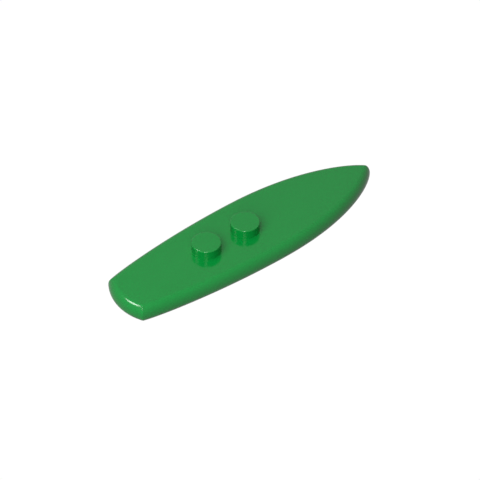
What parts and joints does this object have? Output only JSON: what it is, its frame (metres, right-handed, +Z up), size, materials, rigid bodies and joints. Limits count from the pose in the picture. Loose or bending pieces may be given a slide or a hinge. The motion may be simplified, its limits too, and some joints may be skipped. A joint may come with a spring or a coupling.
{
  "type": "toy surfboard",
  "caption": "Flat toy surfboard with rounded rails, an arced square tail, a pointed nose and round coupling studs in line on its deck.",
  "frame": {"origin": "on the underside, at the middle of the board's length and width", "axes": "+X towards the nose, +Y to port, +Z up out of the deck"},
  "size_m": [0.053, 0.0148, 0.0049],
  "materials": {
    "moulding": "gloss"
  },
  "bodies": {
    "root": {"board": "moulding", "stud_rear": "moulding", "stud_front": "moulding", "clutch_pin": "moulding"}
  },
  "joints": []
}
